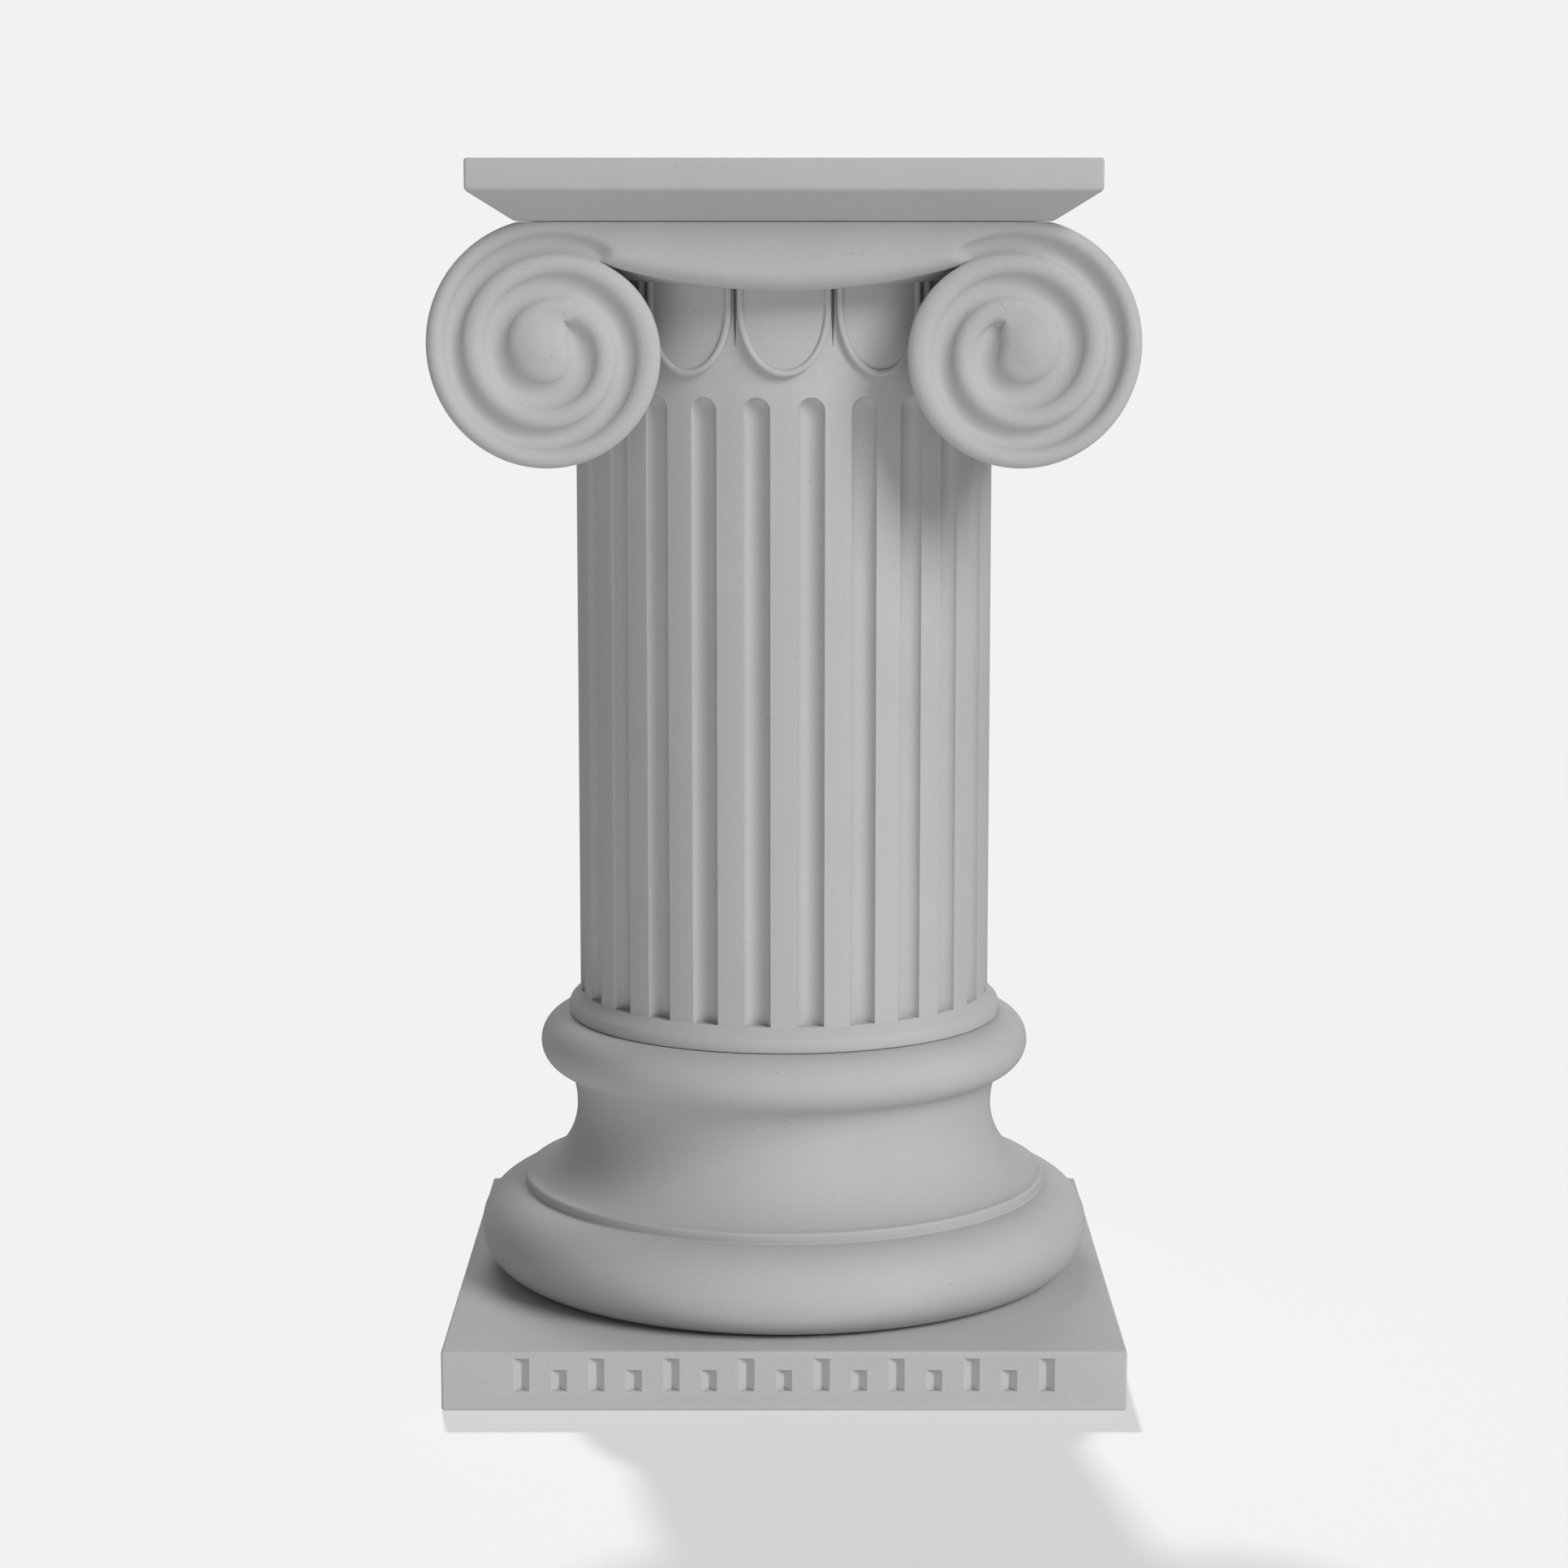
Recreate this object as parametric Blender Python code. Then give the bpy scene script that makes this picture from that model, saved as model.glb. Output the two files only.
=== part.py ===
"""Short ionic column of cast stone, made as five blocks that stand on each other.

From the floor up: a square plinth, a round attic base, a fluted shaft, a capital with two
scrolled volutes on the front and two on the back, and a square abacus with a sloped edge.
The front looks along -Y, +Z is up, and the origin is the middle of the plinth's underside.
"""
import math

import bmesh
import bpy

# Bed joints
JOINT = 0.0003                    # open bed between two blocks

# Shaft
SHAFT_RADIUS = 0.1084
FOOT_RING_STEP = 0.0057           # foot ring's face in front of the shaft
FOOT_RING_HEIGHT = 0.0070
FOOT_SLOPE_HEIGHT = 0.0057
FLUTE_LENGTH = 0.3171
NECK_HEIGHT = 0.0079              # plain stone above the flute heads
FLUTE_COUNT = 25
FLUTE_SHARE = 0.5                 # of the pitch, the rest is the flat fillet
FLUTE_DEPTH = 0.0058

# Attic base, from the top down
TORUS_LEDGE = 0.0005              # flat on a torus beside what stands on it
UPPER_TORUS_HEIGHT = 0.0298
SCOTIA_UPPER_HEIGHT = 0.0196      # from the throat up to the upper torus
SCOTIA_LOWER_HEIGHT = 0.0369      # from the fillet up to the throat
THROAT_STEP = 0.0021              # hollow's narrowest place in front of the shaft
SCOTIA_FLARE = 0.0247             # from there out to the hollow's lower end
FILLET_LEDGE = 0.0034
BASE_FILLET_HEIGHT = 0.0056
LOWER_TORUS_HEIGHT = 0.0456

# Plinth
PLINTH_MARGIN = 0.0081            # plinth's face in front of the lower torus
PLINTH_HEIGHT = 0.0307
STROKE_MARGIN = 0.0340            # least plain stone at both ends of the row of cut strokes
STROKE_FOOT = 0.0102              # plain stone below the strokes
STROKE_HEAD = 0.0038              # plain stone above the long strokes
STROKE_PITCH = 0.0186
STROKE_WIDTH = 0.0080
SHORT_STROKE = 0.65               # share of a long stroke's height
STROKE_DEPTH = 0.0030

# Egg band on the neck of the capital
CAPITAL_HEIGHT = 0.0776
EGG_COUNT = 14
EGG_GAP = 0.0028                  # slot between two eggs
EGG_LIFT = 0.0021                 # from the capital's bed to the lowest point of an egg
EGG_ROUND_HEIGHT = 0.0333         # height of an egg's rounded lower part
EGG_TOP_COVER = 0.0180            # how far the eggs run up behind the scroll block's lip
EGG_RIM_WIDTH = 0.0034
EGG_RIM_RISE = 0.0036             # rim's face in front of the neck
EGG_FACE_RISE = 0.0019            # egg's face in front of the neck
EGG_ROOT = 0.0040                 # how deep an egg is rooted in the neck

# Scroll block: band, volutes and bolsters
CREST_STEP = 0.02195              # carved face's crests in front of the shaft
EYE_STEP = 0.00525                # from the shaft's side out to the scroll's middle
VOLUTE_RADIUS = 0.0607
VOLUTE_CUT = 0.0016               # what the abacus's bed cuts off the top of a scroll
RELIEF = 0.0027                   # ridge above, and channel below, the creases
EYE_RISE = 0.0060
EYE_SHOULDER = 0.0022             # drop from the eye's middle to its shoulder
EYE_CROWN = 0.8                   # shoulder's place between the eye's middle and its rim
EYE_SHIFT = 0.0062                # eye's middle, outward of the scroll's own middle
BAND_DROP = 0.0330                # band's lowest point below the abacus
LIP_DEPTH = 0.0055
JUNCTION_BLEND = 0.0040
BOLSTER_RIM = 0.0080
BOLSTER_WAIST = 0.76              # share of the volute's outline
STRAP_RISE = 0.05                 # of that outline, above the waist
STRAP_WIDTH = 0.0270
STRAP_STEP = 0.0012

# Abacus
ABACUS_FLARE = 0.02245            # fascia in front of the bed's edge
ABACUS_SLOPE_HEIGHT = 0.0150
ABACUS_FASCIA_HEIGHT = 0.0152

# Radii and widths that follow from the shaft
FOOT_RING_RADIUS = SHAFT_RADIUS + FOOT_RING_STEP
UPPER_TORUS_RADIUS = FOOT_RING_RADIUS + TORUS_LEDGE + UPPER_TORUS_HEIGHT / 2
SCOTIA_THROAT_RADIUS = SHAFT_RADIUS + THROAT_STEP
BASE_FILLET_RADIUS = SCOTIA_THROAT_RADIUS + SCOTIA_FLARE + FILLET_LEDGE
LOWER_TORUS_RADIUS = BASE_FILLET_RADIUS + TORUS_LEDGE + LOWER_TORUS_HEIGHT / 2
PLINTH_WIDTH = 2 * (LOWER_TORUS_RADIUS + PLINTH_MARGIN)
CAPITAL_DEPTH = 2 * (SHAFT_RADIUS + CREST_STEP)
VOLUTE_SPACING = 2 * (SHAFT_RADIUS + EYE_STEP)
VOLUTE_DROP = VOLUTE_RADIUS - VOLUTE_CUT
ABACUS_BED_WIDTH = CAPITAL_DEPTH
ABACUS_TOP_WIDTH = ABACUS_BED_WIDTH + 2 * ABACUS_FLARE

# Scroll radii at each quarter turn, as shares of the volute's radius. The first value of
# each row is for the quarter before the top, and the rows then run outward, down and in.
RIDGE_OUTER = (1.020, 1.010, 1.000, 0.990, 0.875, 0.723, 0.712, 0.677, 0.512, 0.367, 0.348,
               0.297, 0.140, 0.247)
RIDGE_INNER = (0.939, 0.871, 0.858, 0.839, 0.682, 0.555, 0.534, 0.511, 0.338, 0.180)
QUARTER = math.radians(90)
EDGE_SLOPE = math.radians(53)     # slope of a ridge where it meets a crease
LIP_SLOPE = math.radians(60)

# Fineness of the model
TURN_STEPS = 30                   # around one turn of a scroll
JUNCTION_STEPS = 3                # from the scroll's top back to where the band begins
EYE_STEPS = 58                    # from the scroll's top to where the channel ends
RIDGE_STRIPS = 3
CHANNEL_STRIPS = 2
BAND_STEPS = 3
BOLSTER_STEPS = 3
BASE_SIDES = 48
ARC_STEP = math.radians(24)
FLUTE_FACETS = 4
HEAD_FACETS = 6
EGG_FACETS = 10
NECK_SIDES = 50

# Heights of the beds above the floor
BASE_BED = PLINTH_HEIGHT
BASE_HEIGHT = (LOWER_TORUS_HEIGHT + BASE_FILLET_HEIGHT + SCOTIA_LOWER_HEIGHT
               + SCOTIA_UPPER_HEIGHT + UPPER_TORUS_HEIGHT)
SHAFT_BED = BASE_BED + BASE_HEIGHT
SHAFT_HEIGHT = FOOT_RING_HEIGHT + FOOT_SLOPE_HEIGHT + FLUTE_LENGTH + NECK_HEIGHT
CAPITAL_BED = SHAFT_BED + SHAFT_HEIGHT
ABACUS_BED = CAPITAL_BED + CAPITAL_HEIGHT
ABACUS_TOP = ABACUS_BED + ABACUS_SLOPE_HEIGHT + ABACUS_FASCIA_HEIGHT

STONE_COLOUR = (0.47, 0.48, 0.475, 1.0)
SHARP_ANGLE = math.radians(35)
WELD = 0.00001


def clear_scene():
    for item in list(bpy.data.objects):
        bpy.data.objects.remove(item, do_unlink=True)


def stone_material(name):
    material = bpy.data.materials.new(name + "_stone")
    material.use_nodes = True
    shader = material.node_tree.nodes["Principled BSDF"]
    shader.inputs["Base Color"].default_value = STONE_COLOUR
    shader.inputs["Roughness"].default_value = 0.85
    shader.inputs["Metallic"].default_value = 0.0
    return material


def add_object(name, bm):
    """Turn a bmesh into a shaded object with its own stone material."""
    bmesh.ops.remove_doubles(bm, verts=bm.verts, dist=WELD)
    bmesh.ops.recalc_face_normals(bm, faces=bm.faces)
    mesh = bpy.data.meshes.new(name)
    bm.to_mesh(mesh)
    bm.free()
    mesh.shade_smooth()
    mesh.set_sharp_from_angle(angle=SHARP_ANGLE)
    item = bpy.data.objects.new(name, mesh)
    item.data.materials.append(stone_material(name))
    bpy.context.scene.collection.objects.link(item)
    return item


def cut(target, tool):
    """Cut a tool out of the target, join what overlaps in the target, and hide the tool."""
    tool.hide_render = True
    tool.display_type = "WIRE"
    modifier = target.modifiers.new("cut", "BOOLEAN")
    modifier.operation = "DIFFERENCE"
    modifier.solver = "EXACT"
    modifier.use_self = True
    modifier.object = tool


def around(radius, angle, height):
    """Point on a circle about the column's axis, with angle 0 at the front."""
    return (radius * math.sin(angle), -radius * math.cos(angle), height)


def arc(centre_r, centre_z, radius, start, end):
    """Points of a profile's arc, as radius and height, ends included."""
    steps = max(2, math.ceil(abs(end - start) / ARC_STEP))
    angles = [start + (end - start) * i / steps for i in range(steps + 1)]
    return [(centre_r + radius * math.cos(a), centre_z + radius * math.sin(a)) for a in angles]


def join_rings(bm, lower, upper):
    """Close two rings of equally many points with a band of faces."""
    count = len(lower)
    for i in range(count):
        j = (i + 1) % count
        bm.faces.new((lower[i], lower[j], upper[j], upper[i]))


def stack_rings(bm, rings):
    """Solid from rings of points, each joined to the next and the ends closed."""
    rows = [[bm.verts.new(point) for point in ring] for ring in rings]
    for lower, upper in zip(rows, rows[1:]):
        join_rings(bm, lower, upper)
    bm.faces.new(list(reversed(rows[0])))
    bm.faces.new(rows[-1])


def square(width, height):
    half = width / 2
    return [(-half, -half, height), (half, -half, height), (half, half, height), (-half, half, height)]


# Plinth

def stroke_cutters():
    """Row of upright strokes, long and short by turns, cut with a hollow wedge."""
    bm = bmesh.new()
    row = PLINTH_WIDTH - 2 * STROKE_MARGIN - STROKE_WIDTH
    count = 2 * int(row / STROKE_PITCH / 2) + 1
    face = -PLINTH_WIDTH / 2
    for i in range(count):
        middle = (i - (count - 1) / 2) * STROKE_PITCH
        height = (PLINTH_HEIGHT - STROKE_FOOT - STROKE_HEAD) * (SHORT_STROKE if i % 2 else 1)
        rings = []
        for z in (STROKE_FOOT, STROKE_FOOT + height):
            rings.append([(middle - STROKE_WIDTH / 2, face, z), (middle, face - STROKE_DEPTH, z),
                          (middle + STROKE_WIDTH / 2, face, z), (middle, face + STROKE_DEPTH, z)])
        stack_rings(bm, rings)
    return add_object("plinth_strokes", bm)


def build_plinth():
    bm = bmesh.new()
    stack_rings(bm, [square(PLINTH_WIDTH, 0.0), square(PLINTH_WIDTH, PLINTH_HEIGHT)])
    cut(add_object("plinth", bm), stroke_cutters())


# Attic base

def hollow_arc(throat_z, height, flare):
    """Arc of the scotia from its throat to where it ends, upright at the throat."""
    radius = (height * height + flare * flare) / (2 * flare)
    turn = math.atan2(height, radius - flare)
    return arc(SCOTIA_THROAT_RADIUS + radius, throat_z, radius, math.pi, math.pi - turn)


def base_profile():
    """Radius and height of the turned outline, from the bed up."""
    tube = LOWER_TORUS_HEIGHT / 2
    points = arc(LOWER_TORUS_RADIUS - tube, BASE_BED + tube, tube, -QUARTER, QUARTER)
    points = [(r, max(height, BASE_BED + JOINT)) for r, height in points]
    z = BASE_BED + LOWER_TORUS_HEIGHT
    points.append((BASE_FILLET_RADIUS, z))
    z += BASE_FILLET_HEIGHT
    points.append((BASE_FILLET_RADIUS, z))
    throat = z + SCOTIA_LOWER_HEIGHT
    lower = hollow_arc(throat, SCOTIA_LOWER_HEIGHT, SCOTIA_FLARE)
    points += [(r, 2 * throat - height) for r, height in reversed(lower)]
    tube = UPPER_TORUS_HEIGHT / 2
    crown = UPPER_TORUS_RADIUS - tube
    points += hollow_arc(throat, SCOTIA_UPPER_HEIGHT, crown - SCOTIA_THROAT_RADIUS)[1:-1]
    points += arc(crown, throat + SCOTIA_UPPER_HEIGHT + tube, tube, -QUARTER, QUARTER)
    return points


def build_base():
    bm = bmesh.new()
    angles = [2 * math.pi * i / BASE_SIDES for i in range(BASE_SIDES)]
    stack_rings(bm, [[around(r, a, z) for a in angles] for r, z in base_profile()])
    add_object("base", bm)


# Shaft

def flute_column(bm, middle, pitch):
    """One flute with its round head and the stone above it. Returns its left and right edges,
    and the points where it meets the foot and the top bed."""
    half = pitch * FLUTE_SHARE / 2
    reach = half * SHAFT_RADIUS
    foot = SHAFT_BED + FOOT_RING_HEIGHT + FOOT_SLOPE_HEIGHT
    spring = foot + FLUTE_LENGTH - reach
    top = CAPITAL_BED

    def point(across, up, height):
        """Point of the hollow: across and up are shares of half its width."""
        hollow = FLUTE_DEPTH * math.sqrt(max(0.0, 1 - across * across - up * up))
        return bm.verts.new(around(SHAFT_RADIUS - hollow, middle + across * half, height))

    shares = [-math.cos(math.pi * j / FLUTE_FACETS) for j in range(FLUTE_FACETS + 1)]
    low = [point(s, 0, foot) for s in shares]
    high = [point(s, 0, spring) for s in shares]
    for j in range(FLUTE_FACETS):
        bm.faces.new((low[j], low[j + 1], high[j + 1], high[j]))

    turns = [math.pi * (k / HEAD_FACETS - 0.5) for k in range(1, HEAD_FACETS)]
    outer = None
    for j in range(FLUTE_FACETS // 2 + 1):
        size = -shares[j]
        if j == FLUTE_FACETS // 2:
            ring = [high[j]] * (HEAD_FACETS + 1)
        else:
            ring = [point(size * math.sin(t), size * math.cos(t),
                          spring + reach * size * math.cos(t)) for t in turns]
            ring = [high[j]] + ring + [high[FLUTE_FACETS - j]]
        if j:
            for k in range(HEAD_FACETS):
                corners = (outer[k], outer[k + 1], ring[k + 1], ring[k])
                bm.faces.new(list(dict.fromkeys(corners)))
        else:
            arch = ring
        outer = ring

    bed = [bm.verts.new(around(SHAFT_RADIUS, middle + side * half, top)) for side in (-1, 0, 1)]
    crown = HEAD_FACETS // 2
    bm.faces.new(arch[:crown + 1] + [bed[1], bed[0]])
    bm.faces.new(arch[crown:] + [bed[2], bed[1]])
    lip = bm.verts.new(around(SHAFT_RADIUS, middle, foot))
    bm.faces.new(list(reversed(low)) + [lip])
    return (low[0], high[0], bed[0]), (low[-1], high[-1], bed[2]), [low[0], lip, low[-1]], bed


def build_shaft():
    bm = bmesh.new()
    pitch = 2 * math.pi / FLUTE_COUNT
    columns = [flute_column(bm, (i + 0.5) * pitch, pitch) for i in range(FLUTE_COUNT)]
    foot_top = []
    top_bed = []
    for i, (left, right, foot, bed) in enumerate(columns):
        following = columns[(i + 1) % FLUTE_COUNT][0]
        for k in range(2):
            bm.faces.new((right[k], following[k], following[k + 1], right[k + 1]))
        foot_top += foot
        top_bed += bed
    bm.faces.new(top_bed)

    half = pitch * FLUTE_SHARE / 2
    angles = [(i + 0.5) * pitch + side * half for i in range(FLUTE_COUNT) for side in (-1, 0, 1)]
    ring = SHAFT_BED + FOOT_RING_HEIGHT
    ring_top = [bm.verts.new(around(FOOT_RING_RADIUS, a, ring)) for a in angles]
    ring_low = [bm.verts.new(around(FOOT_RING_RADIUS, a, SHAFT_BED + JOINT)) for a in angles]
    join_rings(bm, ring_top, foot_top)
    join_rings(bm, ring_low, ring_top)
    bm.faces.new(list(reversed(ring_low)))
    add_object("shaft", bm)


# Egg band

def egg_outline(inset):
    """Half width and height of a U-shaped egg, down its left side and up its right."""
    arc_width = 2 * math.pi * SHAFT_RADIUS / EGG_COUNT
    half = (arc_width - EGG_GAP) / 2 - inset
    low = CAPITAL_BED + EGG_LIFT
    spring = low + EGG_ROUND_HEIGHT
    rise = EGG_ROUND_HEIGHT - inset
    top = ABACUS_BED - BAND_DROP + EGG_TOP_COVER
    points = [(-half, top)]
    for i in range(EGG_FACETS + 1):
        turn = math.pi * i / EGG_FACETS
        points.append((-half * math.cos(turn), spring - rise * math.sin(turn)))
    return points + [(half, top)]


def add_egg(bm, middle):
    """One egg with its raised rim, rooted in the neck."""
    outline = egg_outline(0.0)
    inner = egg_outline(EGG_RIM_WIDTH)

    def wrap(points, rise):
        return [bm.verts.new(around(SHAFT_RADIUS + rise, middle + a / SHAFT_RADIUS, z))
                for a, z in points]

    root = wrap(outline, -EGG_ROOT)
    rim = wrap(outline, EGG_RIM_RISE)
    rim_inner = wrap(inner, EGG_RIM_RISE)
    face = wrap(inner, EGG_FACE_RISE)
    last = len(outline) - 1
    for lower, upper in ((root, rim), (rim, rim_inner), (rim_inner, face)):
        for i in range(last):
            bm.faces.new((lower[i], lower[i + 1], upper[i + 1], upper[i]))
    half_way = last // 2
    spine = wrap([(0.0, inner[i][1]) for i in range(half_way)], EGG_FACE_RISE) + [face[half_way]]
    for i in range(half_way):
        bm.faces.new(list(dict.fromkeys((face[i], face[i + 1], spine[i + 1], spine[i]))))
        bm.faces.new(list(dict.fromkeys((face[last - i - 1], face[last - i], spine[i], spine[i + 1]))))
    bm.faces.new(root)
    bm.faces.new((root[0], rim[0], rim_inner[0], face[0], spine[0],
                  face[last], rim_inner[last], rim[last], root[last]))


def add_cylinder(bm, radius, low, high):
    angles = [2 * math.pi * (i + 0.5) / NECK_SIDES for i in range(NECK_SIDES)]
    stack_rings(bm, [[around(radius, a, z) for a in angles] for z in (low, high)])


def add_neck(bm):
    """Round neck with its eggs, up into the scroll block and down past the capital's bed."""
    top = ABACUS_BED - BAND_DROP + EGG_TOP_COVER + EGG_ROOT
    add_cylinder(bm, SHAFT_RADIUS, CAPITAL_BED - NECK_HEIGHT, top)
    for i in range(EGG_COUNT):
        add_egg(bm, 2 * math.pi * i / EGG_COUNT)


def shaft_room():
    """Room for the head of the shaft, up to the capital's bed and between its bolsters."""
    bm = bmesh.new()
    radius = (SHAFT_RADIUS + JOINT) / math.cos(math.pi / NECK_SIDES)
    add_cylinder(bm, radius, SHAFT_BED, CAPITAL_BED + JOINT)
    return add_object("shaft_room", bm)


# Scroll block

def quarter_radius(shares, angle):
    """Smooth curve through the radii given at each quarter turn."""
    place = angle / QUARTER + 1
    i = min(max(int(math.floor(place)), 0), len(shares) - 2)
    t = place - i
    before = shares[max(i - 1, 0)]
    after = shares[min(i + 2, len(shares) - 1)]
    start, end = shares[i], shares[i + 1]
    curve = (start + 0.5 * t * (end - before)
             + t * t * (before - 2.5 * start + 2 * end - 0.5 * after)
             + t ** 3 * (1.5 * (start - end) + 0.5 * (after - before)))
    return VOLUTE_RADIUS * curve


def rise(share):
    """Height of a round ridge, 0 at its crease and 1 from its middle on."""
    share = min(max(share, 0.0), 1.0)
    sine = math.sin(EDGE_SLOPE) * (1 - share)
    edge = math.cos(EDGE_SLOPE)
    return (math.sqrt(1 - sine * sine) - edge) / (1 - edge)


def spaced(strips):
    """Shares from 0 to 1, closer at both ends."""
    return [(1 - math.cos(math.pi * i / strips)) / 2 for i in range(strips + 1)]


def step_angle(step):
    return 2 * math.pi * step / TURN_STEPS


def scroll_place(radius, angle):
    """X and Z of a point of the right-hand scroll, angle 0 at its top and then outward."""
    return (VOLUTE_SPACING / 2 + radius * math.sin(angle),
            ABACUS_BED - VOLUTE_DROP + radius * math.cos(angle))


def outer_edge(angle):
    """Radius of the ridge's outer edge, cut level under the abacus."""
    radius = quarter_radius(RIDGE_OUTER, angle) if angle >= 0 else math.inf
    if abs(angle) < QUARTER:
        radius = min(radius, VOLUTE_DROP / math.cos(angle))
    return radius


def ridge_column(angle):
    """Ridge from its outer edge in to the crease: X, Z and height."""
    inner = quarter_radius(RIDGE_INNER, angle)
    outer = outer_edge(angle)
    brow = quarter_radius(RIDGE_OUTER, angle) if angle >= 0 else math.inf
    turned = max(angle, 0.0)
    half = (quarter_radius(RIDGE_OUTER, turned) - quarter_radius(RIDGE_INNER, turned)) / 2
    column = []
    for share in spaced(RIDGE_STRIPS):
        radius = outer + (inner - outer) * share
        height = RELIEF * rise(min(radius - inner, brow - radius) / half)
        column.append(scroll_place(radius, angle) + (height,))
    return column


def channel_column(angle):
    """Channel from the crease in to the next turn's ridge, both ends left out."""
    outer = quarter_radius(RIDGE_INNER, angle)
    inner = quarter_radius(RIDGE_OUTER, angle + 2 * math.pi)
    column = []
    for share in spaced(CHANNEL_STRIPS)[1:-1]:
        radius = outer + (inner - outer) * share
        height = -RELIEF * rise(2 * min(share, 1 - share))
        column.append(scroll_place(radius, angle) + (height,))
    return column


def band_columns():
    """Band from the junction to the middle of the face, each column from top to lip."""
    start = step_angle(-JUNCTION_STEPS)
    top_x, top_z = scroll_place(outer_edge(start), start)
    low_x, low_z = scroll_place(quarter_radius(RIDGE_OUTER, start + 2 * math.pi), start)
    crease_z = scroll_place(quarter_radius(RIDGE_INNER, start), start)[1]
    crease = (top_z - crease_z) / (top_z - low_z)
    bottom = ABACUS_BED - BAND_DROP
    first = JUNCTION_BLEND / low_x
    columns = []
    for i in range(BAND_STEPS + 1):
        share = first + (1 - first) * i / BAND_STEPS
        left = 1 - share
        low = (low_x * left, bottom + (low_z - bottom) * left * left)
        column = []
        for part in spaced(RIDGE_STRIPS):
            column.append((part * crease, 0.0))
        for part in spaced(CHANNEL_STRIPS)[1:]:
            column.append((crease + (1 - crease) * part, part))
        points = []
        for down, lip in column:
            drop = 1 - math.sqrt(1 - (lip * math.sin(LIP_SLOPE)) ** 2)
            height = RELIEF - LIP_DEPTH * drop / (1 - math.cos(LIP_SLOPE))
            points.append((top_x * left + (low[0] - top_x * left) * down,
                           top_z + (low[1] - top_z) * down, height))
        columns.append((left, points))
    return columns


def add_face(bm, corners):
    unique = list(dict.fromkeys(corners))
    if len(unique) > 2:
        bm.faces.new(unique)


def add_strip(bm, first, second):
    """Faces between two columns of equally many points."""
    for a, b, c, d in zip(first, first[1:], second[1:], second):
        add_face(bm, (a, b, c, d))


def add_eye(bm, place, rim):
    """Domed eye inside a closed rim of points."""
    middle_x = VOLUTE_SPACING / 2 + EYE_SHIFT
    middle_z = ABACUS_BED - VOLUTE_DROP
    centre = place(middle_x, middle_z, EYE_RISE)
    shoulder = []
    for vertex, x, z in rim:
        shoulder.append(place(middle_x + EYE_CROWN * (x - middle_x), middle_z + EYE_CROWN * (z - middle_z),
                              EYE_RISE - EYE_SHOULDER))
    for i in range(len(rim)):
        j = (i + 1) % len(rim)
        add_face(bm, (rim[i][0], rim[j][0], shoulder[j], shoulder[i]))
        add_face(bm, (shoulder[i], shoulder[j], centre))


def scroll_face(bm, side, facing):
    """Half of a carved face, from the middle of the band to the eye. Returns its border as
    vertex, X, Z and how far the waist of the bolster pulls it in."""
    plane = CAPITAL_DEPTH / 2 - RELIEF

    def place(x, z, height):
        return bm.verts.new((side * x, facing * (plane + height), z))

    steps = range(-JUNCTION_STEPS, EYE_STEPS + 1)
    ridge_points = {k: ridge_column(step_angle(k)) for k in steps}
    ridge = {k: [place(*point) for point in ridge_points[k]] for k in steps}
    edge = {k: ridge[k][0] for k in steps}
    edge_points = {k: ridge_points[k][0][:2] for k in steps}
    tip = EYE_STEPS + TURN_STEPS
    for k in range(EYE_STEPS + 1, tip):
        angle = step_angle(k)
        edge_points[k] = scroll_place(quarter_radius(RIDGE_OUTER, angle), angle)
        edge[k] = place(*edge_points[k], 0.0)
    edge[tip] = ridge[EYE_STEPS][-1]
    edge_points[tip] = ridge_points[EYE_STEPS][-1][:2]

    whole = {}
    for k in steps:
        if k == EYE_STEPS:
            hollow = [edge[tip]] * (CHANNEL_STRIPS - 1)
        else:
            hollow = [place(*point) for point in channel_column(step_angle(k))]
        whole[k] = ridge[k] + hollow + [edge[k + TURN_STEPS]]
    for k in range(-JUNCTION_STEPS, EYE_STEPS):
        add_strip(bm, whole[k], whole[k + 1])

    rim = [(edge[k],) + edge_points[k] for k in range(EYE_STEPS, tip + 1)]
    tip_ridge = zip(ridge[EYE_STEPS][1:-1], ridge_points[EYE_STEPS][1:-1])
    rim += [(vertex,) + point[:2] for vertex, point in reversed(list(tip_ridge))]
    add_eye(bm, place, rim)

    columns = band_columns()
    band = [[place(*point) for point in points] for left, points in columns]
    previous = whole[-JUNCTION_STEPS]
    for column in band:
        add_strip(bm, previous, column)
        previous = column

    border = []
    for column, (left, points) in reversed(list(zip(band, columns))):
        border.append((column[0],) + points[0][:2] + (0.0,))
    junction = TURN_STEPS - JUNCTION_STEPS
    for k in range(-JUNCTION_STEPS, junction + 1):
        pull = min(1.0, (k + JUNCTION_STEPS) / (3 * JUNCTION_STEPS))
        border.append((edge[k],) + edge_points[k] + (pull * pull * (3 - 2 * pull),))
    for column, (left, points) in zip(band, columns):
        border.append((column[-1],) + points[-1][:2] + (left,))
    return border


def bolster_sections():
    """Places along Y, front to back, each with the share of the volute's outline there."""
    rim = CAPITAL_DEPTH / 2 - RELIEF - BOLSTER_RIM
    strap = STRAP_WIDTH / 2
    half = []
    for i in range(BOLSTER_STEPS + 1):
        share = 1 - i / BOLSTER_STEPS
        half.append((strap + (rim - strap) * share, BOLSTER_WAIST + (1 - BOLSTER_WAIST) * share * share))
    half.append((strap - STRAP_STEP, BOLSTER_WAIST + STRAP_RISE))
    return [(-y, share) for y, share in half] + [(y, share) for y, share in reversed(half)]


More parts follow.
